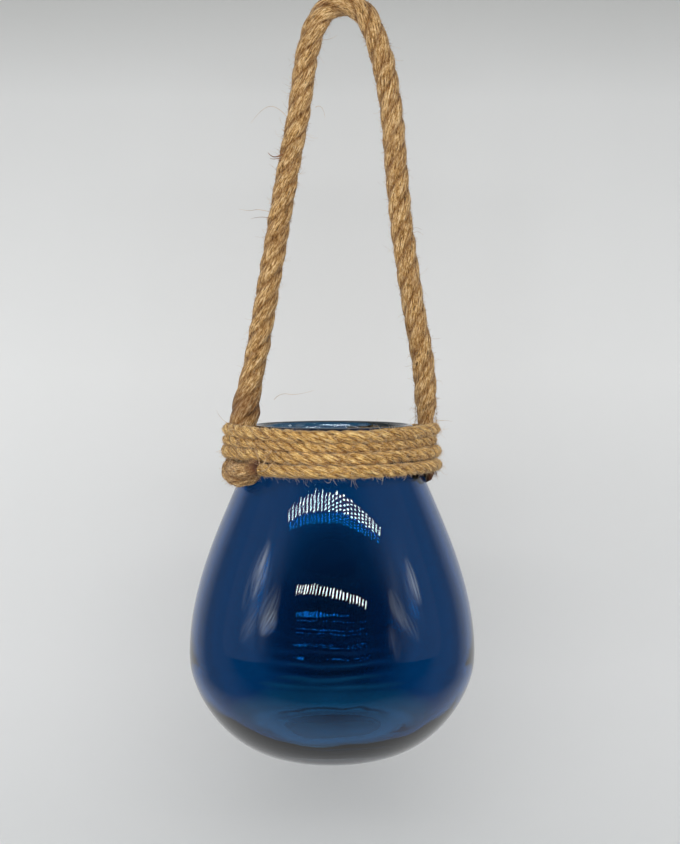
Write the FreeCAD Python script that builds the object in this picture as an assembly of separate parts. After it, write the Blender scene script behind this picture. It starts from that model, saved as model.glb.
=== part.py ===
import FreeCAD, Part
import math
import os

# Hanging glass lantern: a pot-shaped glass vessel hung on a thick rope loop.
#
# Millimetres, +Z up.  The origin is the point where the inside of the loop rests
# on a hook.  The vessel hangs below it, on a vertical axis a little to the left.
# Depths are measured down from the rim of the vessel.

Vec = FreeCAD.Vector

# Glass vessel
rim_drop = 204.0            # rim below the hook
hang_offset = -5.6          # vessel axis from the hook, along X
vessel_height = 164.0
belly_radius = 72.5
belly_depth = 116.8
neck_radius = 39.6
neck_depth = 8.0
lip_radius = 41.3           # outside of the rounded rim
lip_round = 2.0             # half the thickness of the rounded rim
foot_radius = 32.0          # outer edge of the flat ring that it stands on
wall = 4.0
base_thickness = 10.0
floor_radius = 38.0         # flat inside floor that a candle stands on
punt_radius = 24.0          # shallow hollow under the base
punt_depth = 2.5
flank_power = 1.15          # how fast the shoulder swells out of the neck
base_power = 1.675          # how square the turn from belly to foot is

# Ropes
handle_diameter = 11.5
tail_diameter = 8.0         # the same rope, squeezed under the binding
pressed_thickness = 7.0     # its right end, pressed flat
tail_half_width = 6.2       # half the width of the pressed right end
tip_thickness = 4.6         # frayed right end under the lowest turn
tail_end_depth = 25.5       # where the right end is cut off
thinning_length = 3.4       # over which the right end thins to its tip
bend_drop = 2.3             # the left end bends forward this far below the lowest turn's centre
bend_lean = 1.5             # and leans this far forward there
bend_slack = 0.4            # and stands this much further off the glass
curl_drop = 4.9             # its curl hangs this far below the lowest turn's centre
curl_slack = 2.0
curl_heading = 204          # degrees round the vessel, from +X towards the back
cut_drop = 0.8              # its cut end, just below the lowest turn's centre
cut_slack = 0.5
cut_heading = 221
binding_diameter = 5.5
binding_pitch = 5.6
binding_turns = 4
binding_top_depth = 3.4     # centre line of the top turn

# Winding, counted in flat sides seen from above, from +X towards the back
sides_per_turn = 16
start_side = -6             # the lowest turn starts at the front, left of centre
step_side = 3               # each turn starts to climb here, at the back
step_sides = 4
side_turn = 360 / sides_per_turn

bend_share = 0.45           # of a straight run, taken by the arc at each of its ends

# Seats and clearances
seat_gap = 0.3              # rope to glass, and turn to rope end
swing_gap = 0.35            # moving loop to the binding and rope ends

# Hot-melt glue beside each rope end
bead_diameter = 4.0
bead_top_depth = 5.0
bead_length = 11.0

# Derived: where the legs leave the binding, and how far down the turns reach
rim_radius = max(lip_radius, neck_radius)
exit_radius = rim_radius + tail_diameter / 2 + seat_gap
binding_top = binding_top_depth - binding_diameter / 2
pivot_rise = handle_diameter / 2 + swing_gap - binding_top
last_turn_depth = binding_top_depth + (binding_turns - 1) * binding_pitch


def outer_radius(depth):
    """Outside radius of the glass from below the rounded rim down to the belly."""
    if depth <= neck_depth:
        swell = (1 + math.cos(math.pi * (depth - lip_round) / (neck_depth - lip_round))) / 2
        return neck_radius + (lip_radius - neck_radius) * min(1.0, swell)
    share = (depth - neck_depth) / (belly_depth - neck_depth)
    return neck_radius + (belly_radius - neck_radius) * math.sin(math.pi / 2 * share) ** flank_power


def stand_off(depth, reach):
    """Radius of a line that keeps `reach` from the glass, measured square to its slope."""
    step = 0.5
    slope = (outer_radius(depth + step) - outer_radius(depth - step)) / (2 * step)
    return outer_radius(depth) + reach * math.sqrt(1 + slope * slope)


def spline(points, start_tangent, end_tangent):
    curve = Part.BSplineCurve()
    curve.interpolate(Points=points, InitialTangent=start_tangent, FinalTangent=end_tangent)
    return curve


def neck_curve(inset):
    """From the rounded rim down to the neck."""
    points = []
    for i in range(4):
        depth = lip_round + (neck_depth - lip_round) * i / 3
        points.append(Vec(outer_radius(depth) - inset, 0, -depth))
    return spline(points, Vec(0, 0, -1), Vec(0, 0, -1))


def flank_curve(top_inset, bottom_inset):
    """From the neck down to the belly; the inset has changed over by a quarter of the way."""
    points = []
    for i in range(9):
        share = i / 8
        depth = neck_depth + (belly_depth - neck_depth) * share
        inset = top_inset + (bottom_inset - top_inset) * min(1.0, 4 * share)
        points.append(Vec(outer_radius(depth) - inset, 0, -depth))
    return spline(points, Vec(0, 0, -1), Vec(0, 0, -1))


def lower_curve(top_radius, end_radius, end_depth):
    """From the belly in to the foot or the inside floor, a squared-off quarter ellipse."""
    points = []
    for i in range(9):
        turn = math.pi / 2 * i / 8
        inwards = 1 - max(0.0, math.cos(turn)) ** (2 / base_power)
        down = math.sin(turn) ** (2 / base_power)
        radius = top_radius - (top_radius - end_radius) * inwards
        points.append(Vec(radius, 0, -belly_depth - (end_depth - belly_depth) * down))
    return spline(points, Vec(0, 0, -1), Vec(-1, 0, 0))


def glass_vessel():
    """Blown glass pot: rounded rim, narrow neck, wide belly, thick base with a punt."""
    floor_depth = vessel_height - base_thickness
    lip_inner = lip_radius - 2 * lip_round
    neck_inset = 2 * lip_round
    punt_top = Vec(0, 0, -vessel_height + punt_depth)
    punt_edge = Vec(punt_radius, 0, -vessel_height)
    dome = (punt_radius ** 2 + punt_depth ** 2) / (2 * punt_depth)
    half_turn = math.asin(punt_radius / dome) / 2
    punt_middle = Vec(dome * math.sin(half_turn), 0,
                      -vessel_height + punt_depth - dome * (1 - math.cos(half_turn)))
    outline = [
        Part.Arc(Vec(lip_inner, 0, -lip_round), Vec(lip_radius - lip_round, 0, 0),
                 Vec(lip_radius, 0, -lip_round)),
        neck_curve(0),
        flank_curve(0, 0),
        lower_curve(belly_radius, foot_radius, vessel_height),
        Part.LineSegment(Vec(foot_radius, 0, -vessel_height), punt_edge),
        Part.Arc(punt_edge, punt_middle, punt_top),
        Part.LineSegment(punt_top, Vec(0, 0, -floor_depth)),
        Part.LineSegment(Vec(0, 0, -floor_depth), Vec(floor_radius, 0, -floor_depth)),
        lower_curve(belly_radius - wall, floor_radius, floor_depth),
        flank_curve(neck_inset, wall),
        neck_curve(neck_inset),
    ]
    wire = Part.Wire(Part.__sortEdges__([curve.toShape() for curve in outline]))
    return Part.Face(wire).revolve(Vec(0, 0, 0), Vec(0, 0, 1), 360)


def tube(points, diameter, name):
    """A round tube along straight runs joined by tangent arcs."""
    edges = []
    radii = []
    start = points[0]
    for before, corner, after in zip(points, points[1:], points[2:]):
        back = before - corner
        ahead = after - corner
        half_turn = (math.pi - back.getAngle(ahead)) / 2
        setback = bend_share * min(back.Length, ahead.Length)
        radius = setback / math.tan(half_turn)
        back.normalize()
        ahead.normalize()
        inwards = back + ahead
        inwards.normalize()
        arc_start = corner + back * setback
        arc_end = corner + ahead * setback
        arc_middle = corner + inwards * (radius / math.cos(half_turn) - radius)
        edges.append(Part.LineSegment(start, arc_start).toShape())
        edges.append(Part.Arc(arc_start, arc_middle, arc_end).toShape())
        radii.append(radius)
        start = arc_end
    edges.append(Part.LineSegment(start, points[-1]).toShape())
    path = Part.Wire(edges)
    section = Part.Wire(Part.makeCircle(diameter / 2, points[0], points[1] - points[0]))
    solid = path.makePipeShell([section], True, False)
    expected = math.pi * diameter ** 2 / 4 * path.Length
    print(name, "radii", [round(radius, 1) for radius in radii], "length", round(path.Length, 1))
    print(name, "volume", round(solid.Volume), "expected", round(expected), solid.isValid())
    return solid


def handle_route():
    """Route of the loop: up the left leg, over the hook and down the right leg."""
    left_exit = Vec(hang_offset - exit_radius, 0, -rim_drop + pivot_rise)
    right_exit = Vec(hang_offset + exit_radius, 0, -rim_drop + pivot_rise)
    crown = handle_diameter / 2
    return [
        left_exit,
        Vec(-44.6, 0, -171.0),
        Vec(-35.3, 0, -120.0),
        Vec(-28.6, 0, -76.0),
        Vec(-20.8, 0, -42.0),
        Vec(-18.9, 0, -17.0),
        Vec(-9.6, 0, crown),
        Vec(9.8, 0, crown),
        Vec(18.9, 0, -18.0),
        Vec(23.9, 0, -48.0),
        Vec(28.0, 0, -94.0),
        Vec(34.9, 0, -142.0),
        Vec(40.5, 0, -176.0),
        right_exit,
    ]


def handle_rope():
    """The thick rope loop, with rounded ends just above the binding."""
    route = handle_route()
    solid = tube(route, handle_diameter, "handle_rope")
    for end in (route[0], route[-1]):
        solid = solid.fuse(Part.makeSphere(handle_diameter / 2, end))
    return solid.removeSplitter()


def round_vessel(reach, heading, depth):
    """A point at `reach` from the vessel axis, in the direction `heading`."""
    return Vec(reach * math.cos(math.radians(heading)), reach * math.sin(math.radians(heading)), -depth)


def left_tail():
    """Left rope end: down under three turns, then curled forward below them."""
    reach = tail_diameter / 2 + seat_gap
    knee_depth = last_turn_depth - binding_pitch
    bend_depth = last_turn_depth + bend_drop
    curl_depth = last_turn_depth + curl_drop
    cut_depth = last_turn_depth + cut_drop
    route = [
        Vec(-exit_radius, 0, -binding_top),
        Vec(-max(exit_radius, outer_radius(knee_depth) + tail_diameter / 2), 0, -knee_depth),
        Vec(-stand_off(bend_depth, reach) - bend_slack, -bend_lean, -bend_depth),
        round_vessel(stand_off(curl_depth, reach) + curl_slack, curl_heading, curl_depth),
        round_vessel(stand_off(last_turn_depth, reach) + cut_slack, cut_heading, cut_depth),
    ]
    return tube(route, tail_diameter, "handle_tail_left")


def right_half_thickness(depth):
    """The right rope end thins below the last turn but one, down to its frayed tip."""
    share = (depth - last_turn_depth + binding_pitch) / thinning_length
    share = min(1.0, max(0.0, share))
    share = share * share * (3 - 2 * share)
    return (pressed_thickness + (tip_thickness - pressed_thickness) * share) / 2


def right_tail():
    """Right rope end: straight down under all the turns."""
    stations = 14
    depth_step = (tail_end_depth - binding_top) / (stations - 1)
    rings = []
    for i in range(stations):
        depth = binding_top + depth_step * i
        half_thickness = right_half_thickness(depth)
        centre = stand_off(depth, half_thickness + seat_gap)
        middle = Vec(centre, 0, -depth)
        side = middle + Vec(0, tail_half_width, 0)
        inside = middle - Vec(half_thickness, 0, 0)
        rings.append(Part.Wire(Part.Ellipse(side, inside, middle).toShape()))
    return Part.makeLoft(rings, True, False)


def belt_reach(normal_deg, depth):
    """Distance from the vessel axis to a flat side laid against the glass and the rope ends."""
    rope_reach = binding_diameter / 2 + seat_gap
    out = abs(math.cos(math.radians(normal_deg)))
    along = abs(math.sin(math.radians(normal_deg)))
    if math.cos(math.radians(normal_deg)) > 0:
        half_thickness = right_half_thickness(depth)
        half_width = tail_half_width
        stack = 2 * half_thickness + seat_gap + rope_reach
        outermost = stand_off(depth, stack)
    else:
        half_thickness = tail_diameter / 2
        half_width = half_thickness
        stack = 2 * half_thickness + seat_gap + rope_reach
        outermost = max(stand_off(depth, stack), rim_radius + stack)
    tail_reach = (outermost - half_thickness - rope_reach) * out
    tail_reach += math.hypot(half_thickness * out, half_width * along) + rope_reach
    return max(stand_off(depth, rope_reach), tail_reach)


def belt_corner(index, depth):
    """Where side `index` of the binding's route meets the next one, seen from above."""
    first = index * side_turn
    second = first + side_turn
    first_reach = belt_reach(first, depth)
    second_reach = belt_reach(second, depth)
    span = math.sin(math.radians(side_turn))
    x = (first_reach * math.sin(math.radians(second)) - second_reach * math.sin(math.radians(first))) / span
    y = (second_reach * math.cos(math.radians(first)) - first_reach * math.cos(math.radians(second))) / span
    return Vec(x, y, -depth)


def binding_route():
    """Four turns wound upwards; each steps up to the next at the back, left of centre."""
    points = []
    for turn in range(binding_turns):
        for index in range(start_side, start_side + sides_per_turn):
            if turn == binding_turns - 1 and index > step_side:
                break
            climb = min(1.0, max(0.0, (index - step_side) / step_sides))
            points.append(belt_corner(index, last_turn_depth - (turn + climb) * binding_pitch))
    return points


def neck_binding():
    """Thin rope wound four times round the neck, over the two ends of the thick rope."""
    return tube(binding_route(), binding_diameter, "neck_binding")


def glue_bead(side, tail_thickness):
    """Hot-melt glue in the corner between the neck and the back of a rope end."""
    route = []
    for i in range(5):
        depth = bead_top_depth + bead_length * i / 4
        reach = stand_off(depth, bead_diameter / 2 + seat_gap)
        tail = stand_off(depth, tail_thickness / 2 + seat_gap)
        apart = tail_half_width + bead_diameter / 2 + seat_gap
        along = (reach ** 2 + tail ** 2 - apart ** 2) / (2 * tail)
        route.append(Vec(side * along, math.sqrt(reach ** 2 - along ** 2), -depth))
    return tube(route, bead_diameter, "glue")


def hung(solid):
    """Move a solid from the vessel's own frame to its place under the hook."""
    solid.translate(Vec(hang_offset, 0, -rim_drop))
    return solid


def build():
    return {
        "handle_rope": handle_rope(),
        "glass_vessel": hung(glass_vessel()),
        "neck_binding": hung(neck_binding()),
        "handle_tail_left": hung(left_tail()),
        "handle_tail_right": hung(right_tail()),
        "glue_left": hung(glue_bead(-1, tail_diameter)),
        "glue_right": hung(glue_bead(1, pressed_thickness)),
    }


os.makedirs("parts", exist_ok=True)
for node, shape in build().items():
    shape.exportStep("parts/" + node + ".step")
    print(node, "solids", len(shape.Solids), "valid", shape.isValid(), "volume", round(shape.Volume, 1))
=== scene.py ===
import bpy
import math
import numpy as np
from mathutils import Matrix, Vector, noise


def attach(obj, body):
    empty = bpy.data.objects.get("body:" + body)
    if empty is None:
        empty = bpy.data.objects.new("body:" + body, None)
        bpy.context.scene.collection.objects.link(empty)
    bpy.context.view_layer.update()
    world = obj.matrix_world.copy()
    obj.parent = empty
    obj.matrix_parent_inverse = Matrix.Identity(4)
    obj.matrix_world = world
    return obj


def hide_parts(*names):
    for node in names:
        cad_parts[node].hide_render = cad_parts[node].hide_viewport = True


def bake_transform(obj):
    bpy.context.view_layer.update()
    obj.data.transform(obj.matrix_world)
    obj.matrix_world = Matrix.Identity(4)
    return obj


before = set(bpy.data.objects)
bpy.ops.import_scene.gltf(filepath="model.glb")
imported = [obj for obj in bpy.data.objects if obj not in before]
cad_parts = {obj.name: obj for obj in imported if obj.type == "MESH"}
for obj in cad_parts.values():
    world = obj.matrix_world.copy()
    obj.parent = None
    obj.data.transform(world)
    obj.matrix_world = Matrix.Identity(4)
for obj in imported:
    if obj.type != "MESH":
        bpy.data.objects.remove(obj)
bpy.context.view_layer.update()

# The vessel and the ropes are worked out in millimetres, with depths measured down from the rim,
# and come into Blender's metres when they are placed.
MM = 0.001

# ---------------- sizes, as in the CAD source
rim_drop = 204.0
hang_offset = -5.6
vessel_height = 164.0
belly_radius = 72.5
belly_depth = 116.8
neck_radius = 39.6
neck_depth = 8.0
lip_radius = 41.3
lip_round = 2.0
foot_radius = 32.0
wall = 4.0
base_thickness = 10.0
floor_radius = 38.0
punt_radius = 24.0
punt_depth = 2.5
flank_power = 1.15
base_power = 1.675
handle_diameter = 11.5
tail_diameter = 8.0
pressed_thickness = 7.0
tail_half_width = 6.2
tip_thickness = 4.6
tail_end_depth = 25.5
thinning_length = 3.4
binding_diameter = 5.5
binding_pitch = 5.6
binding_turns = 4
binding_top_depth = 3.4
sides_per_turn = 16
start_side = -6
step_side = 3
step_sides = 4
side_turn = 360 / sides_per_turn
seat_gap = 0.3
swing_gap = 0.35
rim_radius = max(lip_radius, neck_radius)
exit_radius = rim_radius + tail_diameter / 2 + seat_gap
binding_top = binding_top_depth - binding_diameter / 2
pivot_rise = handle_diameter / 2 + swing_gap - binding_top
last_turn_depth = binding_top_depth + (binding_turns - 1) * binding_pitch
floor_depth = vessel_height - base_thickness


def smooth_step(start, end, value):
    share = min(1.0, max(0.0, (value - start) / (end - start)))
    return share * share * (3 - 2 * share)


def outer_radius(depth):
    """Outside radius of the glass from below the rounded rim down to the belly."""
    if depth <= neck_depth:
        swell = (1 + math.cos(math.pi * (depth - lip_round) / (neck_depth - lip_round))) / 2
        return neck_radius + (lip_radius - neck_radius) * min(1.0, swell)
    share = (depth - neck_depth) / (belly_depth - neck_depth)
    return neck_radius + (belly_radius - neck_radius) * math.sin(math.pi / 2 * share) ** flank_power


def stand_off(depth, reach):
    """Radius of a line that keeps `reach` from the glass, measured square to its slope."""
    slope = outer_radius(depth + 0.5) - outer_radius(depth - 0.5)
    return outer_radius(depth) + reach * math.sqrt(1 + slope * slope)


def in_place(points):
    """From the vessel's frame in millimetres to the row frame in metres."""
    return (np.array(points, dtype=float) + (hang_offset, 0, -rim_drop)) * MM


def in_metres(points):
    return [tuple(value * MM for value in point) for point in points]


# ---------------- mesh helpers
def new_object(name, data):
    piece = bpy.data.objects.new(name, data)
    bpy.context.scene.collection.objects.link(piece)
    return piece


def new_mesh(name, points, faces, materials, face_materials=None):
    mesh = bpy.data.meshes.new(name)
    mesh.from_pydata([tuple(p) for p in points], [], faces)
    for material in materials:
        mesh.materials.append(material)
    mesh.polygons.foreach_set("use_smooth", [True] * len(mesh.polygons))
    if face_materials is not None:
        mesh.polygons.foreach_set("material_index", face_materials)
    mesh.update()
    return new_object(name, mesh)


def point_values(piece, name, values):
    """Store one number, or one vector, for each point of a mesh."""
    values = np.array(values, dtype=float)
    kind, field = ("FLOAT_VECTOR", "vector") if values.ndim == 2 else ("FLOAT", "value")
    layer = piece.data.attributes.new(name, kind, "POINT")
    layer.data.foreach_set(field, values.ravel())


def tube_faces(rings, sides):
    """Faces of a tube whose points go round it, one ring after another."""
    faces = []
    for first in range(0, (rings - 1) * sides, sides):
        for k in range(sides):
            after = (k + 1) % sides
            faces.append((first + k, first + after, first + sides + after, first + sides + k))
    return faces


def grid_faces(rows, columns, first=0):
    """Faces of a sheet whose points lie in rows, from point `first` on."""
    faces = []
    for row in range(rows):
        for column in range(columns):
            corner = first + row * (columns + 1) + column
            faces.append((corner, corner + 1, corner + columns + 2, corner + columns + 1))
    return faces


def distances(line):
    """How far along a line each of its points lies."""
    return np.concatenate([[0], np.cumsum(np.linalg.norm(np.diff(line, axis=0), axis=1))])


def centre_line(route, spacing):
    """Evenly spaced points on the one smooth curve that a route's points control."""
    curve = bpy.data.curves.new("route", "CURVE")
    curve.dimensions = "3D"
    spline = curve.splines.new("NURBS")
    spline.points.add(len(route) - 1)
    for point, place in zip(spline.points, route):
        point.co = (*place, 1)
    spline.order_u = 3
    spline.use_endpoint_u = True
    spline.resolution_u = 24
    holder = new_object("route", curve)
    graph = bpy.context.evaluated_depsgraph_get()
    line = bpy.data.meshes.new_from_object(holder.evaluated_get(graph))
    places = np.array([v.co[:] for v in line.vertices])
    bpy.data.objects.remove(holder)
    bpy.data.curves.remove(curve)
    bpy.data.meshes.remove(line)
    along = distances(places)
    steps = np.linspace(0, along[-1], max(8, round(along[-1] / spacing)))
    return np.stack([np.interp(steps, along, places[:, i]) for i in range(3)], axis=1)


def line_frames(line):
    """Distances along a line, its directions, and two square directions that don't spin."""
    ahead = np.gradient(line, axis=0)
    ahead /= np.linalg.norm(ahead, axis=1)[:, None]
    side = np.zeros_like(line)
    first = np.cross(ahead[0], (0.3, 1.0, 0.2))
    side[0] = first / np.linalg.norm(first)
    for i in range(1, len(line)):
        turned = side[i - 1] - ahead[i] * np.dot(side[i - 1], ahead[i])
        side[i] = turned / np.linalg.norm(turned)
    return distances(line), ahead, side, np.cross(ahead, side)


# ---------------- material helpers
BLACK = (0, 0, 0)
WHITE = (1, 1, 1)
PLAIN_PALE = (0.66, 0.67, 0.67, 1)


def new_material(name):
    material = bpy.data.materials.new(name)
    material.use_nodes = True
    tree = material.node_tree
    return material, tree, tree.nodes["Principled BSDF"]


def set_inputs(node, values):
    for name, value in values.items():
        node.inputs[name].default_value = value


def add_node(tree, kind, **values):
    """A new node; each value goes to the input of that name, or else to the node's setting."""
    node = tree.nodes.new(kind)
    for key, value in values.items():
        name = key.replace("_", " ")
        if name in node.inputs:
            node.inputs[name].default_value = value
        else:
            setattr(node, key, value)
    return node


def joined(tree, kind, *sources, output=0, **values):
    """A new node with the sources linked to its first inputs; gives one of its outputs."""
    node = add_node(tree, kind, **values)
    for source, socket in zip(sources, node.inputs):
        tree.links.new(source, socket)
    return node.outputs[output]


def attribute(tree, name, output="Fac"):
    return add_node(tree, "ShaderNodeAttribute", attribute_name=name).outputs[output]


def object_place(tree):
    return add_node(tree, "ShaderNodeTexCoord").outputs["Object"]


def axes(tree, vector):
    """The X, Y and Z of a vector."""
    split = tree.nodes.new("ShaderNodeSeparateXYZ")
    tree.links.new(vector, split.inputs[0])
    return split.outputs


def share_between(tree, source, start, end):
    """Where a value lies from `start` to `end`, as 0 to 1."""
    node = tree.nodes.new("ShaderNodeMapRange")
    set_inputs(node, {"From Min": start, "From Max": end})
    tree.links.new(source, node.inputs["Value"])
    return node.outputs[0]


def colour_stops(tree, source, stops):
    ramp = tree.nodes.new("ShaderNodeValToRGB")
    elements = ramp.color_ramp.elements
    while len(elements) < len(stops):
        elements.new(0.5)
    for element, (place, colour) in zip(elements, stops):
        element.position = place
        element.color = (*colour, 1)
    tree.links.new(source, ramp.inputs["Fac"])
    return ramp.outputs["Color"]


def mix_colours(tree, share, first, second, blend_type="MIX"):
    """Mix two colours; the share and each colour may be a socket or a plain value."""
    node = add_node(tree, "ShaderNodeMix", data_type="RGBA", blend_type=blend_type)
    sockets = (node.inputs["Factor"], node.inputs[6], node.inputs[7])
    for socket, value in zip(sockets, (share, first, second)):
        if isinstance(value, bpy.types.NodeSocket):
            tree.links.new(value, socket)
        else:
            socket.default_value = value
    return node.outputs[2]


def noise_at(tree, place, stretch, scale, detail, roughness=0.5):
    """Noise over the rope's own coordinates, drawn out along the rope by a small `stretch`."""
    drawn_out = joined(tree, "ShaderNodeMapping", place, Scale=(1, 1, stretch))
    return joined(tree, "ShaderNodeTexNoise", drawn_out, output="Fac",
                  Scale=scale, Detail=detail, Roughness=roughness)


# ---------------- rope materials
def jute(name, tones, patch_scale):
    """Jute rope: fibre streaks, pale and dark patches, red-brown bark, painted shade darkening its
    creases.
    """
    fibre_scale = 1.35
    bark_colour = (0.24, 0.10, 0.035, 1)
    cut_colour = (0.17, 0.065, 0.026, 1)
    dark_spot_colour = (0.10, 0.050, 0.018, 1)
    material, tree, shader = new_material(name)
    place = attribute(tree, "rope_place", "Vector")
    fibres = noise_at(tree, place, 0.22, fibre_scale, 3.0, 0.85)
    patches = noise_at(tree, place, 0.35, patch_scale, 2.0, 0.6)
    barks = noise_at(tree, place, 0.30, patch_scale * 1.6, 3.0, 0.65)
    dark_spot_noise = noise_at(tree, place, 0.30, fibre_scale * 0.5, 1.0)
    tone = colour_stops(tree, fibres, list(zip((0.38, 0.46, 0.53, 0.61), tones)))
    light = colour_stops(tree, patches, [(0.32, (0.80, 0.75, 0.68)), (0.50, WHITE),
                                         (0.68, (1.06, 1.06, 1.04))])
    tone = mix_colours(tree, 1.0, tone, light, "MULTIPLY")
    bark = colour_stops(tree, barks, [(0.565, BLACK), (0.71, (0.7, 0.7, 0.7))])
    tone = mix_colours(tree, bark, tone, bark_colour)
    tone = mix_colours(tree, attribute(tree, "redness"), tone, cut_colour)
    # Painted shade: the rope darkens into the creases between its strands
    crease_shade = colour_stops(tree, attribute(tree, "crease"),
                           [(0.60, WHITE), (1.0, (0.55, 0.44, 0.32))])
    tone = mix_colours(tree, 1.0, tone, crease_shade, "MULTIPLY")
    # Small dark spots here and there along the rope
    dark_spots = colour_stops(tree, dark_spot_noise, [(0.27, (0.9, 0.9, 0.9)), (0.335, BLACK)])
    tone = mix_colours(tree, dark_spots, tone, dark_spot_colour)
    tree.links.new(tone, shader.inputs["Base Color"])
    bump = add_node(tree, "ShaderNodeBump", Strength=1.0, Distance=0.0006)
    tree.links.new(fibres, bump.inputs["Height"])
    tree.links.new(bump.outputs[0], shader.inputs["Normal"])
    set_inputs(shader, {"Roughness": 0.75, "Specular IOR Level": 0.25,
                        "Sheen Weight": 0.15, "Sheen Roughness": 0.5})
    return material


def mottled(name, scale, detail, stops, roughness):
    """A plain material of two tones, here and there."""
    material, tree, shader = new_material(name)
    tone = joined(tree, "ShaderNodeTexNoise", object_place(tree), output="Fac",
                  Scale=scale, Detail=detail)
    tree.links.new(colour_stops(tree, tone, stops), shader.inputs["Base Color"])
    set_inputs(shader, {"Roughness": roughness})
    return material


def plain_fibre(name, light, dark):
    return mottled(name, 260.0, 1.0, [(0.35, dark), (0.60, light)], 0.6)


thick_jute = jute("thick_jute", ((0.16, 0.072, 0.018), (0.41, 0.215, 0.066),
                                 (0.62, 0.380, 0.150), (0.88, 0.65, 0.37)), 0.22)
thin_jute = jute("thin_jute", ((0.24, 0.108, 0.024), (0.50, 0.270, 0.070),
                               (0.79, 0.475, 0.150), (1.0, 0.77, 0.37)), 0.28)
loose_fibre = plain_fibre("loose_fibre", (0.66, 0.45, 0.24), (0.30, 0.17, 0.07))
pale_fibre = plain_fibre("pale_fibre", (0.84, 0.66, 0.42), (0.55, 0.36, 0.18))
bark_fibre = plain_fibre("bark_fibre", (0.34, 0.15, 0.06), (0.14, 0.06, 0.03))


# ---------------- camera
def camera():
    data = bpy.data.cameras.new("camera")
    data.sensor_fit = "HORIZONTAL"
    data.sensor_width = 36
    data.lens = 62.72
    piece = new_object("camera", data)
    piece.location = (-0.00165, -0.600, -0.175)
    piece.rotation_euler = (math.radians(90 - 2.66), 0, 0)
    bpy.context.scene.camera = piece


# ---------------- ropes
def rope(name, line, diameter, lay, material, seed, sides=96, yarns=13, fibre_turn=0.35, depth=0.22,
         ridge=0.025, fuzz=0.07, widths=None, squeeze=None, reds=None, cap=False):
    """A rope of three strands, laid to the right, around a centre line in metres.

    Its strands go round once in `lay` metres and lie `depth` off its middle; `ridge` is the
    height of their yarns and `fuzz` of their fibres, all as shares of its radius.  `widths` and
    `reds` change its thickness and its red-brown tone along its length, and `squeeze` scales it
    along x and y; each is (shares of the length, values, ...).
    """
    along, ahead, side, other = line_frames(line)
    rings = len(line)
    share = along / along[-1]
    reach = np.full(rings, diameter / 2)
    if widths is not None:
        reach = reach * np.interp(share, *widths)
    turns = 2 * math.pi * np.arange(sides) / sides
    from_strand = ((np.arange(sides) * 3 / sides) % 1.0 - 0.5) * 2 * math.pi / 3
    strand_radius = 1 - depth
    sideways = depth * np.sin(from_strand)
    lobe = depth * np.cos(from_strand) + np.sqrt(strand_radius ** 2 - sideways ** 2)
    yarn_turn = np.arctan2(lobe * np.sin(from_strand), lobe * np.cos(from_strand) - depth)
    crease = np.abs(from_strand) / (math.pi / 3)
    offset = Vector((seed * 7.3, seed * 3.1, seed * 11.7))
    across_grain = 0.9
    along_grain = 0.14
    lump_scale = 0.16
    lump_height = 0.04
    points = np.zeros((rings, sides, 3))
    places = np.zeros((rings, sides, 3))
    for i in range(rings):
        # The strands' lay is a little tighter here and looser there
        wander = 0.25 * noise.noise(Vector((along[i] / lay * 0.6, seed, 0.5)))
        spin = 2 * math.pi * along[i] / lay + wander
        fibre = turns + (1 - fibre_turn) * spin
        places[i, :, 0] = np.cos(fibre) * reach[i] / MM
        places[i, :, 1] = np.sin(fibre) * reach[i] / MM
        places[i, :, 2] = along[i] / MM
        rough = np.zeros(sides)
        for k in range(sides):
            at = Vector(places[i, k])
            grain = Vector((at.x * across_grain, at.y * across_grain, at.z * along_grain))
            lump = lump_height * noise.noise(at * lump_scale + offset)
            rough[k] = lobe[k] * lump + fuzz * noise.noise(grain + offset)
        yarn = np.cos(yarns * (yarn_turn + (1 - fibre_turn) * spin / strand_radius))
        radius = (reach[i] * (lobe + rough + ridge * yarn * (1 - crease ** 2)))[:, None]
        turn = (turns + spin)[:, None]
        points[i] = side[i] * (np.cos(turn) * radius) + other[i] * (np.sin(turn) * radius)
    if squeeze is not None:
        points[:, :, 0] *= np.interp(share, squeeze[0], squeeze[1])[:, None]
        points[:, :, 1] *= np.interp(share, squeeze[0], squeeze[2])[:, None]
    points = list((points + line[:, None, :]).reshape(-1, 3))
    places = list((places + np.array(offset) * 5).reshape(-1, 3))
    # How far each point lies into a crease; the jute paints its crease shade by it
    crease_shade = list(np.tile(crease, rings))
    redness = np.interp(share, *reds) if reds is not None else np.zeros(rings)
    redness = list(np.repeat(redness, sides))
    faces = tube_faces(rings, sides)
    if cap:
        for end, order in ((0, -1), (rings - 1, 1)):
            middle = len(points)
            points.append(line[end] + ahead[end] * diameter * 0.12 * order)
            places.append(places[end * sides] * 0.5)
            crease_shade.append(1.0)
            redness.append(redness[end * sides])
            for k in range(sides):
                edge = (end * sides + k, end * sides + (k + 1) % sides)
                faces.append((*edge[::order], middle))
    piece = new_mesh(name, points, faces, [material])
    point_values(piece, "rope_place", places)
    point_values(piece, "crease", crease_shade)
    point_values(piece, "redness", redness)
    return piece


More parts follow.
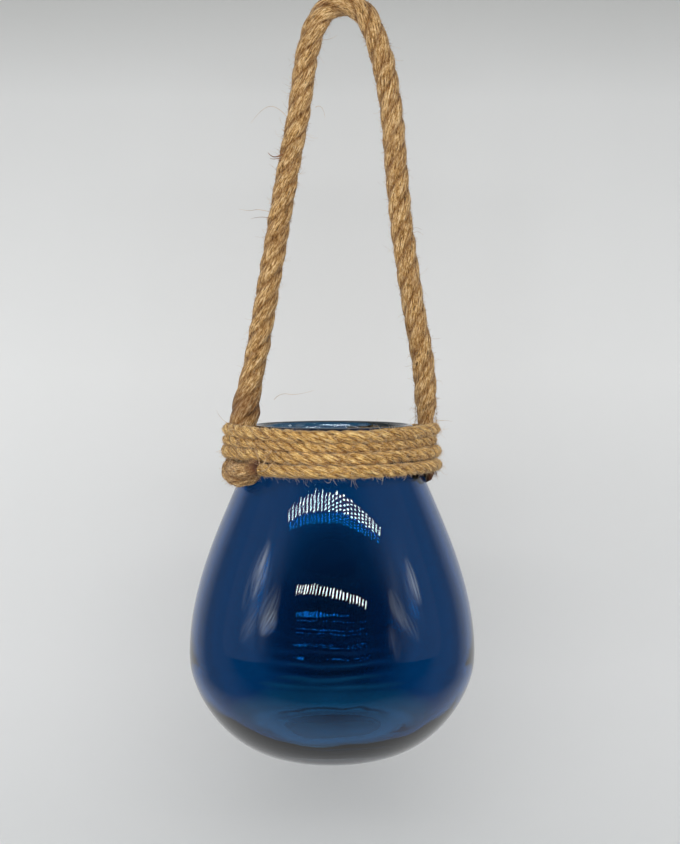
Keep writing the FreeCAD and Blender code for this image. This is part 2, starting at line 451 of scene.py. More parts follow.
def loose_fibres(name, line, diameter, count, reach, material, seed, below=0.0, thickness=0.06,
                 where=(0.0, 1.0), outward=False, steps=6):
    """Fine hairs that stand off a rope; `reach` is the shortest and longest, in millimetres.

    They start inside its skin.  `where` is the part of the rope that has them, `outward` turns
    every hair away from the vessel's axis, and `below` makes them hang.
    """
    root = 0.45
    curliness = 0.35
    rng = np.random.default_rng(seed)
    ahead, side, other = line_frames(line)[1:]
    last = len(line) - 1
    at = rng.integers(int(where[0] * last), int(where[1] * last) + 1, count)
    turn = rng.uniform(0, 2 * math.pi, count)[:, None]
    out = side[at] * np.cos(turn) + other[at] * np.sin(turn)
    if outward:
        away = line[at] - (hang_offset * MM, 0, 0)
        inward = out[:, 0] * away[:, 0] + out[:, 1] * away[:, 1] < 0
        out[inward] *= -1
    place = line[at] + out * diameter * root
    length = (reach[0] + (reach[1] - reach[0]) * rng.random(count) ** 2) * MM
    lean = ahead[at] * (rng.choice([-1, 1], count) * rng.uniform(0.2, 2.0, count))[:, None]
    heading = out * rng.uniform(0.4, 1.0, count)[:, None] + lean
    heading[:, 2] -= below * rng.random(count)
    curl = rng.normal(0, 0.8, (count, 3))
    radius = rng.uniform(0.6, 1.0, count) * thickness * MM
    points = np.zeros((count, 3 * steps + 1, 3))
    for step in range(steps):
        heading /= np.linalg.norm(heading, axis=1)[:, None]
        across = np.cross(heading, (0.31, 0.52, 0.79))
        across /= np.linalg.norm(across, axis=1)[:, None]
        upward = np.cross(heading, across)
        taper = (radius * (1 - 0.6 * step / steps))[:, None]
        for k in range(3):
            angle = 2 * math.pi * k / 3
            corner = across * math.cos(angle) + upward * math.sin(angle)
            points[:, 3 * step + k] = place + corner * taper
        place = place + heading * (length / steps)[:, None]
        heading = heading + curl * curliness + rng.normal(0, 0.10, (count, 3))
    points[:, -1] = place
    tip = 3 * steps
    one = [(0, 2, 1)] + tube_faces(steps, 3)
    one += [(tip - 3 + k, tip - 3 + (k + 1) % 3, tip) for k in range(3)]
    faces = [tuple(corner + hair * (tip + 1) for corner in face)
             for hair in range(count) for face in one]
    return new_mesh(name, points.reshape(-1, 3), faces, [material])


def stray_fibre(name, route, radius, material, body):
    """One loose fibre along a route in millimetres, in the row frame."""
    line = centre_line(in_metres(route), 0.5 * MM)
    side, other = line_frames(line)[2:]
    last = len(line) - 1
    points = []
    for i in range(len(line)):
        taper = radius * MM * (1 - 0.75 * (i / last) ** 2)
        for k in range(4):
            angle = math.pi / 2 * k
            corner = side[i] * math.cos(angle) + other[i] * math.sin(angle)
            points.append(line[i] + corner * taper)
    faces = tube_faces(len(line), 4) + [(3, 2, 1, 0), tuple(range(4 * last, 4 * last + 4))]
    piece = new_mesh(name, points, faces, [material])
    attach(piece, body)


# Where the two legs bend when the loop swings, from the loop's body to the vessel's
exit_height = pivot_rise - rim_drop


def loop_route():
    """The loop's route, carried on a little way down into the binding at each end."""
    carried_on = 7
    inside = -rim_drop - carried_on
    crown = handle_diameter / 2
    return in_metres([
        (-50.6, 0, inside),
        (-50.6, 0, exit_height),
        (-44.0, 0, -171.0),
        (-35.1, 0, -119.0),
        (-28.2, 0, -78.0),
        (-21.0, 0, -42.0),
        (-18.6, 0, -17.0),
        (-9.6, 0, crown),
        (9.8, 0, crown),
        (19.2, 0, -18.0),
        (24.7, 0, -48.0),
        (27.8, 0, -94.0),
        (34.7, 0, -142.0),
        (41.2, 0, -176.0),
        (42.0, 0, exit_height),
        (42.0, 0, inside),
    ])


def rope_loop():
    route = loop_route()
    line = centre_line(route, 0.6 * MM)
    loop = rope("rope_loop", line, handle_diameter * MM, lay=35 * MM, material=thick_jute, seed=1,
                widths=([0, 0.03, 0.07, 0.93, 0.96, 0.975, 1],
                        [1.2, 1.28, 1.0, 1.0, 0.95, 0.75, 0.7]),
                reds=([0.018, 0.030, 0.045, 0.060], [0.1, 0.55, 0.45, 0.0]))
    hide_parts("handle_rope")
    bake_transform(loop)
    for name, count, reach, thickness, steps, seed in (
            ("loop_fuzz", 12000, (0.8, 2.6), 0.12, 3, 11),
            ("loop_fibres", 1500, (2.0, 8.0), 0.07, 6, 21)):
        hairs = loose_fibres(name, line, handle_diameter * MM, count, reach, loose_fibre, seed,
                             thickness=thickness, steps=steps)
        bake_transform(hairs)
    for name, radius, material, strand in (
            ("stray_curl", 0.35, bark_fibre,
             ((-30, -4, -69), (-33, -6, -71), (-36, -6, -70.5), (-37.5, -6, -68.5))),
            ("stray_tuft", 0.22, bark_fibre,
             ((-31, -4, -71.5), (-33, -6, -71.5), (-35, -6, -72), (-36.5, -6, -71.4))),
            ("stray_arc", 0.10, loose_fibre,
             ((-27, -4, -52), (-32, -7, -46), (-40, -8, -46.5), (-46, -7, -54.5))),
            ("stray_low", 0.10, loose_fibre,
             ((-36, -5, -98), (-42, -8, -96.5), (-47, -8, -98), (-52, -7, -96.5))),
            ("stray_red", 0.13, bark_fibre,
             ((-36, -5, -101), (-41, -7, -99.8), (-46, -7, -101.5))),
            ("stray_top", 0.10, loose_fibre,
             ((-17, -5, -20), (-14, -8, -13), (-7, -8, -14.5), (-3, -6, -11))),
            ("stray_right", 0.09, loose_fibre,
             ((-14, -4, -46), (-10, -7, -44), (-9, -7, -52)))):
        stray_fibre(name, strand, radius, material, "handle")


def right_half_thickness(depth):
    """Half the right end's thickness: pressed flat, and thinner below the last turn but one."""
    share = smooth_step(0, thinning_length, depth - last_turn_depth + binding_pitch)
    return (pressed_thickness + (tip_thickness - pressed_thickness) * share) / 2


def belt_reach(normal_deg, depth):
    """Distance from the vessel axis to a flat side laid against the glass and the rope ends."""
    rope_reach = binding_diameter / 2 + seat_gap
    turned = math.radians(normal_deg)
    out = abs(math.cos(turned))
    along = abs(math.sin(turned))
    on_right = math.cos(turned) > 0
    half_thickness = right_half_thickness(depth) if on_right else tail_diameter / 2
    half_width = tail_half_width if on_right else half_thickness
    stack = 2 * half_thickness + seat_gap + rope_reach
    outermost = stand_off(depth, stack)
    if not on_right:
        outermost = max(outermost, rim_radius + stack)
    tail_reach = (outermost - half_thickness - rope_reach) * out
    tail_reach += math.hypot(half_thickness * out, half_width * along) + rope_reach
    return max(stand_off(depth, rope_reach), tail_reach)


def belt_corner(index, depth):
    """Where side `index` of the binding's route meets the next one, seen from above."""
    first = index * side_turn
    second = first + side_turn
    first_reach = belt_reach(first, depth)
    second_reach = belt_reach(second, depth)
    here = math.radians(first)
    there = math.radians(second)
    span = math.sin(math.radians(side_turn))
    x = (first_reach * math.sin(there) - second_reach * math.sin(here)) / span
    y = (second_reach * math.cos(here) - first_reach * math.cos(there)) / span
    return (x, y, -depth)


def winding():
    """The thin rope, four times round the neck: drawn up at the sides, slack behind."""
    side_lift = 1.3
    back_sag = 3.4
    top_front_sag = 0.8
    swell = 0.8
    route = [belt_corner(start_side - 0.5, last_turn_depth)]
    for turn in range(binding_turns):
        for index in range(start_side, start_side + sides_per_turn):
            if turn == binding_turns - 1 and index > step_side:
                break
            level = turn + min(1.0, max(0.0, (index - step_side) / step_sides))
            turned = math.radians((index + 0.5) * side_turn)
            lift = side_lift * min(1.0, level) * math.cos(turned) ** 2
            sag = back_sag * max(0.0, math.sin(turned)) ** 2
            sag += top_front_sag * max(0.0, -math.sin(turned)) ** 2 * (level > 2.5)
            route.append(belt_corner(index, last_turn_depth - level * binding_pitch - lift + sag))
    line = centre_line(in_place(route), 0.66 * MM)
    diameter = (binding_diameter + swell) * MM
    piece = rope("thin_winding", line, diameter, lay=21.5 * MM, material=thin_jute, seed=3,
                 sides=60, yarns=8, fibre_turn=0.5, depth=0.26, ridge=0.04, fuzz=0.10, cap=True)
    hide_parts("neck_binding")
    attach(piece, "vessel")
    for name, count, reach, thickness, steps, seed in (
            ("winding_fuzz", 12000, (0.8, 2.6), 0.11, 3, 12),
            ("winding_fibres", 2200, (2.0, 7.5), 0.075, 8, 22)):
        hairs = loose_fibres(name, line, diameter, count, reach, pale_fibre, seed, below=0.9,
                             thickness=thickness, outward=True, steps=steps)
        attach(hairs, "vessel")


def left_end():
    """The thick rope's left end: down under three turns, then curled forward below them."""
    knob = 10.7
    reach = knob / 2 + seat_gap
    knee_depth = last_turn_depth - binding_pitch

    def beside(heading, depth):
        out = stand_off(depth, reach)
        turned = math.radians(heading)
        return (out * math.cos(turned), out * math.sin(turned), -depth)

    route = [
        (-exit_radius, 0, -binding_top),
        (-max(exit_radius, outer_radius(knee_depth) + tail_diameter / 2), 0, -knee_depth),
        beside(188, last_turn_depth + 2.2),
        beside(209, last_turn_depth + 4.4),
        beside(225, last_turn_depth - 0.8),
    ]
    line = centre_line(in_place(route), 0.4 * MM)
    piece = rope("rope_end_left", line, knob * MM, lay=80 * MM, material=thick_jute, seed=5,
                 depth=0.24, ridge=0.09, fuzz=0.12,
                 widths=([0, 0.25, 0.42, 0.86, 0.95, 1], [0.74, 0.74, 1.0, 1.05, 0.86, 0.60]),
                 reds=([0.93, 0.985, 1.0], [0.0, 0.8, 1.0]), cap=True)
    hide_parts("handle_tail_left")
    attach(piece, "vessel")
    for name, count, reach, where, material, seed in (
            ("left_end_fibres", 1100, (0.9, 4.5), (0.3, 1.0), loose_fibre, 13),
            ("left_cut_fibres", 160, (0.8, 2.6), (0.94, 1.0), bark_fibre, 14)):
        hairs = loose_fibres(name, line, knob * MM, count, reach, material, seed, below=0.5,
                             where=where, outward=True)
        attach(hairs, "vessel")


def wisps():
    """Pale wisps of the left cut end between the last two turns, and hairs off the binding."""
    for name, radius, slot, strand in (
            ("wisp_left", 0.55, "thick_rope",
             ((-42, -37, -213.5), (-40.5, -42, -217.5), (-38.6, -42, -223.5))),
            ("wisp_right", 0.45, "thick_rope",
             ((-34, -41, -214.5), (-36.5, -44, -218), (-38.6, -43, -223))),
            ("wisp_low", 0.35, "thick_rope",
             ((-41, -37, -225), (-37, -44, -224), (-33, -45, -220), (-31, -43, -218))),
            ("hair_over", 0.09, "thin_rope",
             ((-33, -36, -190.5), (-30, -42, -187), (-22, -43, -188.5), (-14, -40, -186))),
            ("hair_left", 0.08, "thin_rope",
             ((-54, -20, -204), (-60, -24, -201), (-62, -22, -196))),
            ("hair_right", 0.08, "thin_rope",
             ((40, -22, -203), (46, -26, -200), (53, -24, -201.5)))):
        stray_fibre(name, strand, radius, loose_fibre, "vessel")


def right_end():
    """The right end, pressed flat under the turns and frayed below them."""
    end_depth = tail_end_depth + 1.5
    route = []
    for i in range(9):
        depth = binding_top + (end_depth - binding_top) * i / 8
        route.append((stand_off(depth, right_half_thickness(depth) + seat_gap), 0, -depth))
    line = centre_line(in_place(route), 0.4 * MM)
    diameter = 2 * tail_half_width
    pressed = pressed_thickness / diameter
    piece = rope("rope_end_right", line, diameter * MM, lay=34 * MM, material=thick_jute, seed=7,
                 squeeze=([0.0, 0.5, 0.72, 1.0], [pressed, pressed, tip_thickness / diameter, 0.35],
                          [0.95, 0.95, 0.9, 0.9]),
                 reds=([0.75, 0.9, 1.0], [0.0, 0.9, 1.0]), cap=True)
    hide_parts("handle_tail_right")
    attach(piece, "vessel")
    hairs = loose_fibres("right_cut_fibres", line, tail_diameter * MM, 260, (1.0, 3.5), bark_fibre,
                         15, below=1.5, where=(0.8, 1.0), outward=True)
    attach(hairs, "vessel")


def glue():
    material = mottled("cloudy_glue", 220.0, 2.0,
                       [(0.3, (0.62, 0.57, 0.42)), (0.7, (0.80, 0.77, 0.66))], 0.35)
    for node in ("glue_left", "glue_right"):
        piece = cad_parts[node]
        piece.data.materials.clear()
        piece.data.materials.append(material)


# ---------------- glass vessel
def glass(name, tints):
    """Clear or tinted glass; `tints` are colours by height above the underside, in millimetres."""
    material, tree, shader = new_material(name)
    if tints:
        height = share_between(tree, axes(tree, object_place(tree))["Z"],
                               -(rim_drop + vessel_height) * MM, -rim_drop * MM)
        stops = [(up / vessel_height, tint) for up, tint in tints]
        tree.links.new(colour_stops(tree, height, stops), shader.inputs["Base Color"])
    else:
        set_inputs(shader, {"Base Color": (*WHITE, 1)})
    set_inputs(shader, {"Roughness": 0.01, "IOR": 1.5, "Transmission Weight": 1})
    # A faint grey in the glass itself
    absorb = add_node(tree, "ShaderNodeVolumeAbsorption", Density=4.0, Color=(0.45, 0.45, 0.45, 1))
    tree.links.new(absorb.outputs[0], tree.nodes["Material Output"].inputs["Volume"])
    return material, tree, shader


def glass_materials():
    """Blue outside, a lining clear above its teal floor, ground glass in the hollow below."""
    blue = (0.002, 0.074, 0.265)
    teal = (0.10, 0.42, 0.62)
    smoky = (0.42, 0.41, 0.41)
    neck_shade_blue = (0.0005, 0.018, 0.070)
    # Painted shade: the blue deepens towards the rim
    outside = glass("blue_glass", [(0, WHITE), (2, WHITE), (5, smoky), (9, smoky), (15, blue),
                                   (148, blue), (157, neck_shade_blue)])
    ground = glass("ground_glass", [])
    set_inputs(ground[2], {"Roughness": 0.35})
    lining, tree, shader = glass("glass_lining", [(0, teal), (15, teal), (22, WHITE), (164, WHITE)])
    set_inputs(shader, {"Coat Weight": 0.8, "Coat IOR": 1.7, "Coat Roughness": 0.01})
    # Painted shade: a dark line round the back of the floor darkens the lining's tint
    plain = shader.inputs["Base Color"].links[0].from_socket
    floor_tint_with_shade = mix_colours(tree, 1.0, plain, attribute(tree, "floor_shade", "Color"), "MULTIPLY")
    tree.links.new(floor_tint_with_shade, shader.inputs["Base Color"])
    return [outside[0], lining, ground[0]]


def flank_profile(top_inset, bottom_inset, count):
    """The upper wall, set inwards; within, it is thicker near the neck, as blown glass is."""
    rows = []
    for i in range(count + 1):
        share = i / count
        depth = lip_round + (belly_depth - lip_round) * share
        inset = top_inset + (bottom_inset - top_inset) * min(1.0, 4 * share)
        if top_inset:
            thicker = 0.013 * max(0.0, 70 - depth) + 1.3 * (1 - smooth_step(66, 94, depth))
            inset += smooth_step(2, 15, depth) * thicker
        rows.append((outer_radius(depth) - inset, depth))
    return rows


def lower_profile(top_radius, end_radius, end_depth, count):
    """The rounded wall from the belly down to the foot or to the floor."""
    rows = []
    for i in range(1, count + 1):
        turn = math.pi / 2 * i / count
        inwards = 1 - max(0.0, math.cos(turn)) ** (2 / base_power)
        down = math.sin(turn) ** (2 / base_power)
        rows.append((top_radius - (top_radius - end_radius) * inwards,
                     belly_depth + (end_depth - belly_depth) * down))
    return rows


def eased_belly(rows, reach):
    """The same profile with its curve evened out within `reach` above and below the belly."""
    samples = 21
    depths = [depth for radius, depth in rows]
    radii = [radius for radius, depth in rows]
    eased = []
    for depth in depths:
        window = 0.6 * max(0.0, reach - abs(depth - belly_depth))
        around = np.linspace(depth - window, depth + window, samples)
        eased.append((float(np.mean(np.interp(around, depths, radii))), depth))
    return eased


def outer_profile():
    """The outside from the mouth down to the middle of the hollow under the base."""
    dome = (punt_radius ** 2 + punt_depth ** 2) / (2 * punt_depth)
    rows = flank_profile(0, 0, 60) + lower_profile(belly_radius, foot_radius, vessel_height, 30)
    rows = eased_belly(rows, 10)
    rows += [(foot_radius - 1, vessel_height), (punt_radius + 1, vessel_height)]
    hollow = []
    for i in range(9):
        radius = punt_radius * (1 - i / 8)
        rise = math.sqrt(dome ** 2 - radius ** 2)
        hollow.append((radius, vessel_height - punt_depth + dome - rise))
    return rows + hollow, len(hollow)


def lip_profile():
    """The rounded lip, from its outside over to its inside."""
    rows = []
    for i in range(11, 0, -1):
        turn = math.pi * i / 12
        rows.append((lip_radius - lip_round - lip_round * math.cos(turn),
                     lip_round - lip_round * math.sin(turn)))
    return rows


def inner_profile():
    """The inside from the mouth down to the middle of the floor."""
    rows = flank_profile(2 * lip_round, wall, 165)
    rows += lower_profile(belly_radius - wall, floor_radius, floor_depth, 30)
    rows = eased_belly(rows, 18)
    rows += [(37.6 - 0.5 * i, floor_depth) for i in range(30)]
    return rows + [(floor_radius * share, floor_depth) for share in (0.55, 0.45, 0.3, 0.15, 0.0)]


def inner_waves(there, turn, depth):
    """How far a point of the inner face lies out and down from its even shape."""
    uneven = min(1.0, max(0.0, (depth - 84) / 36))
    wave = uneven * (0.35 * noise.noise(there / 34) + 0.10 * noise.noise(there / 13))
    # Fine ripples low down on the front
    spacing = 5.75
    first_ripple = 86
    below = depth - first_ripple
    ripples = smooth_step(84, 88, depth) * (1 - smooth_step(104, 118, depth))
    ripples *= smooth_step(0.90, 0.97, -math.sin(turn)) * (0.10 + 0.006 * below)
    shift = 1.6 * noise.noise(Vector((math.cos(turn) * 5.5, depth / 9, 6.3)))
    wave += ripples * math.sin(2 * math.pi * below / spacing + shift)
    near_floor = min(1.0, max(0.0, (depth - 130) / 24))
    return wave, near_floor * 0.5 * noise.noise(there / 17 + Vector((5, 2, 8)))


def floor_shade_tone(radius, turn):
    """Painted shade: a dark, wavering line runs round the back of the floor; 1 is clear."""
    half_width = 3.4
    middle = 30.6 + 4.5 * noise.noise(Vector((math.cos(turn) * 3.1, math.sin(turn) * 3.1, 3.1)))
    dark = 0.98 * max(0.0, 1 - (abs(radius - middle) / half_width) ** 2)
    return 1 - dark * smooth_step(0.0, 0.8, math.sin(turn))


def vessel():
    """The blown pot as one closed skin, a little uneven within."""
    outside, lining, ground = range(3)
    outer, hollow_rows = outer_profile()
    lip = lip_profile()
    rows = outer[::-1] + lip + inner_profile()
    first_inside = len(outer) + len(lip)
    around = 224
    outer_wave = 0.02
    points = []
    floor_shade_values = []
    rings = []
    for index, (radius, depth) in enumerate(rows):
        inside = index >= first_inside
        if radius < 1e-6:
            rings.append([len(points)] * around)
            points.append((0, 0, -depth))
            floor_shade_values.append(1.0)
            continue
        rings.append(range(len(points), len(points) + around))
        for k in range(around):
            turn = 2 * math.pi * k / around
            right, back = math.cos(turn), math.sin(turn)
            there = Vector((right * radius, back * radius, depth))
            wave = fall = 0.0
            if inside:
                wave, fall = inner_waves(there, turn, depth)
            elif depth > 20:
                wave = outer_wave * noise.noise(there / 40 + Vector((9, 9, 9)))
            points.append((right * (radius + wave), back * (radius + wave), -depth - fall))
            on_floor = inside and depth > floor_depth - 0.5
            # Painted shade on the floor's back edge
            floor_shade_values.append(floor_shade_tone(radius, turn) if on_floor else 1.0)
    faces = []
    skins = []
    for index, (upper, lower) in enumerate(zip(rings, rings[1:])):
        # The lining begins just over the lip
        skin = ground if index < hollow_rows else lining if index >= first_inside - 3 else outside
        for k in range(around):
            after = (k + 1) % around
            corners = (upper[k], upper[after], lower[after], lower[k])
            if upper[k] == upper[after]:
                corners = (upper[k], lower[after], lower[k])
            elif lower[k] == lower[after]:
                corners = (upper[k], upper[after], lower[k])
            faces.append(corners)
            skins.append(skin)
    piece = new_mesh("vessel", in_place(points), faces, glass_materials(), skins)
    point_values(piece, "floor_shade", floor_shade_values)
    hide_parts("glass_vessel")
    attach(piece, "vessel")


camera()
rope_loop()
winding()
left_end()
wisps()
right_end()
glue()
vessel()


# ---------------- backdrop and light
# The wall's lit face is at wall_y; from bend_top down it bends forward into the floor
wall_y = 0.16
bend_top = -0.30
bend_radius = 0.25


def wall_tone_with_painted_shade(tree, position):
    """The wall and floor as they are seen: pale, with painted shade that makes them a little darker
    at the top and towards the bottom.
    """
    height = share_between(tree, position["Z"], -0.60, 0.10)
    return colour_stops(tree, height, [(0.15, (0.71, 0.72, 0.72)), (0.33, (0.80, 0.805, 0.805)),
                                       (0.60, (0.83, 0.835, 0.83)), (0.85, (0.69, 0.695, 0.69)),
                                       (0.97, (0.46, 0.465, 0.455))])


def wall_in_glass(tree, place, position, through_glass):
    """The wall as the glass shows it, in painted light: the lantern's painted shadow through it,
    the room's painted reflection in it.
    """
    oval = joined(tree, "ShaderNodeMapping", place, vector_type="TEXTURE",
                  Location=(-0.005, wall_y, -0.338), Scale=(0.060, 1.0, 0.082))
    away = joined(tree, "ShaderNodeVectorMath", oval, output="Value", operation="LENGTH")
    shadow = colour_stops(tree, away, [(0.30, (0.004, 0.008, 0.03)), (0.50, (0.035, 0.05, 0.10)),
                                       (0.70, (0.13, 0.17, 0.22)), (1.0, (0.64, 0.65, 0.66))])
    # Painted light: the wall near the lantern is bright, the rest of the room dim
    sideways = joined(tree, "ShaderNodeMath", position["X"], operation="ABSOLUTE")
    beside = colour_stops(tree, sideways, [(0.20, (0.62, 0.63, 0.64)), (0.42, (0.16, 0.17, 0.18))])
    forward = share_between(tree, position["Y"], -0.75, 0.25)
    near = colour_stops(tree, forward, [(0.40, (0.02, 0.02, 0.02)), (0.66, WHITE)])
    room = mix_colours(tree, 1.0, beside, near, "MULTIPLY")
    return joined(tree, "ShaderNodeEmission", mix_colours(tree, through_glass, room, shadow))


def backdrop():
    """A pale wall behind the lantern that runs down into a pale floor; clear from behind."""
    half_width = 2.0
    steps = 8
    rows = [(wall_y, 1.2), (wall_y, 0.6), (wall_y, 0.1), (wall_y, bend_top)]
    for i in range(1, steps + 1):
        turn = math.pi / 2 * i / steps
        rows.append((wall_y - bend_radius * (1 - math.cos(turn)),
                     bend_top - bend_radius * math.sin(turn)))
    rows.append((-2.0, bend_top - bend_radius))
    points = [(x, y, z) for y, z in rows for x in (-half_width, half_width)]
    faces = [(2 * i, 2 * i + 2, 2 * i + 3, 2 * i + 1) for i in range(len(rows) - 1)]
    material, tree, shader = new_material("pale_wall")
    geometry = tree.nodes.new("ShaderNodeNewGeometry")
    place = geometry.outputs["Position"]
    position = axes(tree, place)
    rays = tree.nodes.new("ShaderNodeLightPath").outputs
    tree.links.new(wall_tone_with_painted_shade(tree, position), shader.inputs["Base Color"])
    set_inputs(shader, {"Roughness": 1.0, "Specular IOR Level": 0.0})
    in_glass = wall_in_glass(tree, place, position, rays["Is Transmission Ray"])
    by_glass = joined(tree, "ShaderNodeMath", rays["Is Glossy Ray"], rays["Is Transmission Ray"],
                      operation="MAXIMUM")
    lit = joined(tree, "ShaderNodeMixShader", by_glass, shader.outputs[0], in_glass)
    # Far from the lantern it fades into the plain surroundings, so its edges don't show
    distance = add_node(tree, "ShaderNodeVectorMath", operation="DISTANCE")
    distance.inputs[1].default_value = (0.0, wall_y, bend_top)
    tree.links.new(place, distance.inputs[0])
    far = share_between(tree, distance.outputs["Value"], 0.45, 0.85)
    seen_far = joined(tree, "ShaderNodeMath", far, rays["Is Camera Ray"], operation="MULTIPLY")
    plain = add_node(tree, "ShaderNodeEmission", Color=PLAIN_PALE).outputs[0]
    faded = joined(tree, "ShaderNodeMixShader", seen_far, lit, plain)
    clear = tree.nodes.new("ShaderNodeBsdfTransparent").outputs[0]
    surface = joined(tree, "ShaderNodeMixShader", geometry.outputs["Backfacing"], faded, clear)
    tree.links.new(surface, tree.nodes["Material Output"].inputs["Surface"])
    material.cycles.emission_sampling = "NONE"
    new_mesh("backdrop", points, faces, [material])


def surroundings():
    """A dim tent, dark at its open front; plain pale where it is seen directly or through glass."""
    world = bpy.data.worlds.new("tent")
    bpy.context.scene.world = world
    world.use_nodes = True
    tree = world.node_tree
    direction = add_node(tree, "ShaderNodeTexCoord").outputs["Generated"]
    forward = share_between(tree, axes(tree, direction)["Y"], -1.0, 1.0)
    tent = colour_stops(tree, forward, [(0.15, (0.015, 0.015, 0.02)), (0.27, (0.22, 0.22, 0.23)),
                                        (0.62, (0.25, 0.25, 0.26)), (0.75, (0.50, 0.50, 0.52))])
    rays = tree.nodes.new("ShaderNodeLightPath").outputs
    seen = joined(tree, "ShaderNodeMath", rays["Is Camera Ray"], rays["Is Transmission Ray"],
                  operation="MAXIMUM")
    light = mix_colours(tree, rays["Is Diffuse Ray"], tent, (0.38, 0.385, 0.39, 1))
    colour = mix_colours(tree, seen, light, PLAIN_PALE)
    tree.links.new(colour, tree.nodes["Background"].inputs["Color"])


def lamp(name, place, target, size, watts):
    """A soft lamp that doesn't show in the glass."""
    light = bpy.data.lights.new(name, "AREA")
    light.shape = "RECTANGLE"
    light.size, light.size_y = size
    light.energy = watts
    piece = new_object(name, light)
    piece.location = place
    piece.rotation_euler = (Vector(target) - Vector(place)).to_track_quat("-Z", "Y").to_euler()
    piece.visible_glossy = False
    piece.visible_transmission = False


def glowing(name, points, faces, glow, strength):
    """A reflector panel that shows only in the glass; `glow` is its brightness at each point."""
    material, tree, shader = new_material(name)
    tree.nodes.remove(shader)
    level = attribute(tree, "glow", "Color")
    emission = joined(tree, "ShaderNodeEmission", level, Strength=strength)
    clear = tree.nodes.new("ShaderNodeBsdfTransparent").outputs[0]
    both = joined(tree, "ShaderNodeAddShader", emission, clear)
    tree.links.new(both, tree.nodes["Material Output"].inputs["Surface"])
    material.cycles.emission_sampling = "NONE"
    piece = new_mesh(name, points, faces, [material])
    point_values(piece, "glow", glow)
    piece.visible_camera = False
    piece.visible_diffuse = False
    piece.visible_shadow = False


def lamp_rows():
    """Two strips of small bulbs near the camera: they make the dotted highlights on the glass."""
    brightness = 36.0
    points = []
    faces = []

    def bulb(middle, across, along):
        first = len(points)
        for a, b in ((-1, -1), (1, -1), (1, 1), (-1, 1)):
            points.append(np.array(middle) + np.array(across) * a + np.array(along) * b)
        faces.append(tuple(range(first, first + 4)))

    rng = np.random.default_rng(5)
    nudge = 0.003
    # The upper strip: a level band of rows that bends toward the lantern at both ends
    upper_height = 0.300
    peak_x = -0.03
    columns = 26
    rows = 4
    for column in range(columns):
        x = -0.640 + 1.355 * column / (columns - 1)
        off = abs(x - peak_x)
        near = -0.662 + (0.364 if x < peak_x else 0.225) * off ** 1.7
        far = -0.695 + (0.328 * off ** 1.65 if x < peak_x else 0.23 * off ** 2.3)
        for row in range(rows + column % 2):
            share = (row + 0.5 - 0.5 * (column % 2) + rng.uniform(-0.11, 0.11)) / rows
            share = 0.04 + 0.92 * min(1.0, max(0.0, share))
            y = near + (far - near) * share ** 1.2
            size = rng.uniform(0.85, 1.15)
            depth = (near - far) / rows * (0.14 + 0.12 * share) * size
            bulb((x + rng.uniform(-nudge, nudge), y, upper_height), (0.0124 * size, 0.002, 0),
                 (0, depth, 0))
    # The lower strip: one row of upright dashes
    lower_y = -0.600
    dashes = 23
    for dash in range(dashes):
        x = -0.345 + 0.650 * dash / (dashes - 1)
        top = -0.028 - 0.108 * x
        low = -0.064 - 0.098 * x
        middle = (top + low) / 2 + rng.uniform(-nudge, nudge)
        slant = rng.uniform(0.002, 0.007)
        bulb((x + rng.uniform(-nudge, nudge), lower_y, middle),
             (0.0064 * rng.uniform(0.8, 1.15), 0, slant),
             (0.005, 0, (top - low) / 2 * rng.uniform(0.75, 1.0)))
    glowing("lamp_rows", points, faces, [1.0] * len(points), brightness)


def round_lantern(azimuth, elevation):
    """A point some way from the vessel, by degrees; azimuth 0 is the camera's side."""
    distance = 0.8
    a, e = math.radians(azimuth), math.radians(elevation)
    middle = np.array((hang_offset * MM, 0, -0.29))
    outward = (math.sin(a) * math.cos(e), -math.cos(a) * math.cos(e), math.sin(e))
    return middle + distance * np.array(outward)


def milky_panel(name, azimuths, elevations, strength, seed):
    """A soft streaky panel beside the camera, seen as a milky reflection on the glass's flank."""
    columns = 48
    rows = 24
    points = []
    glow = []
    for row in range(rows + 1):
        for column in range(columns + 1):
            points.append(round_lantern(np.interp(column, (0, columns), azimuths),
                                        np.interp(row, (0, rows), elevations)))
            soft = math.sin(math.pi * column / columns) * math.sin(math.pi * row / rows)
            streak = 0.5 + 0.9 * noise.noise(Vector((column / 6.0, row / 14.0, seed)))
            glow.append(max(0.0, soft * streak))
    glowing(name, points, grid_faces(rows, columns), glow, strength)


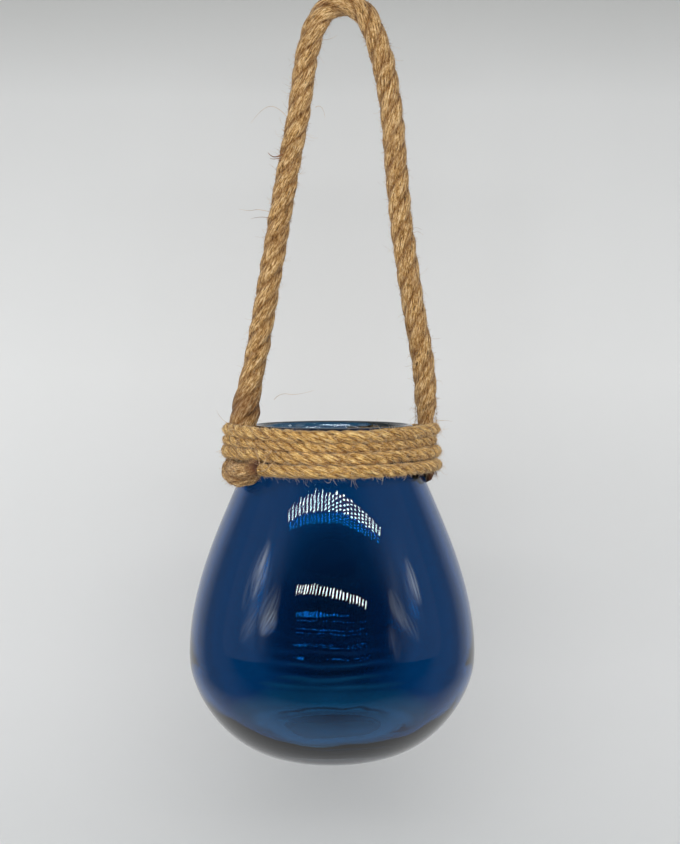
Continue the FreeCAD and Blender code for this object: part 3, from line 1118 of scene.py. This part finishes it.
def milky_strokes():
    """Bright folds of the tent's sides: short slanting streaks on the glass's flanks.

    Each is (azimuth, elevation) at its two ends, its width and its brightness.
    """
    strokes = [
        ((-65, 29), (-68, 13), 16.0, 1.5),
        ((-73, 26), (-75, 8), 12.0, 0.35),
        ((-47, 22), (-55, 3), 17.0, 0.75),
        ((-46, 14), (-53, 3), 14.0, 1.1),
        ((-60, 14), (-72, -2), 16.0, 0.35),
        ((72, 24), (76, 10), 11.0, 1.3),
        ((67, 22), (73, 10), 12.0, 0.3),
        ((50, 20), (58, 5), 14.0, 0.8),
        ((57, 12), (68, -1), 14.0, 0.45),
        ((45, 9), (49, -6), 12.0, 0.3),
    ]
    columns = 30
    rows = 24
    points = []
    glow = []
    faces = []
    for number, (upper, lower, width, brightness) in enumerate(strokes):
        faces += grid_faces(rows, columns, len(points))
        for row in range(rows + 1):
            share = row / rows
            for column in range(columns + 1):
                off = (column / columns - 0.5) * width * (0.4 + 0.6 * math.sin(math.pi * share))
                points.append(round_lantern(upper[0] + (lower[0] - upper[0]) * share + off,
                                            upper[1] + (lower[1] - upper[1]) * share))
                soft = math.sin(math.pi * column / columns) * math.sin(math.pi * share) ** 0.7
                drift = Vector((column / 2.6 + row / 9.0, row / 13.0, number * 3.7))
                streak = 0.65 + 1.3 * noise.noise(drift)
                glow.append(max(0.0, brightness * soft * streak))
    glowing("tent_folds", points, faces, glow, 2.2)


backdrop()
surroundings()
lamp("front_strip", (0.0, -0.60, -0.03), (0, 0, -0.25), (0.66, 0.06), 0.85)
lamp("top_strip", (0.0, -0.66, 0.30), (0, 0, -0.25), (1.3, 0.08), 2.8)
lamp("left_light", (-0.8, -0.5, -0.30), (0, 0, -0.25), (0.6, 0.6), 2.3)
lamp("right_light", (0.75, -0.35, -0.25), (0.25, 0.16, -0.32), (0.5, 0.6), 1.0)
lamp_rows()
milky_strokes()
milky_panel("milky_left", (-76, -42), (-4, 34), 0.45, 2.5)
milky_panel("milky_right", (42, 80), (-4, 32), 0.35, 7.5)
bpy.context.scene.view_settings.view_transform = "Standard"
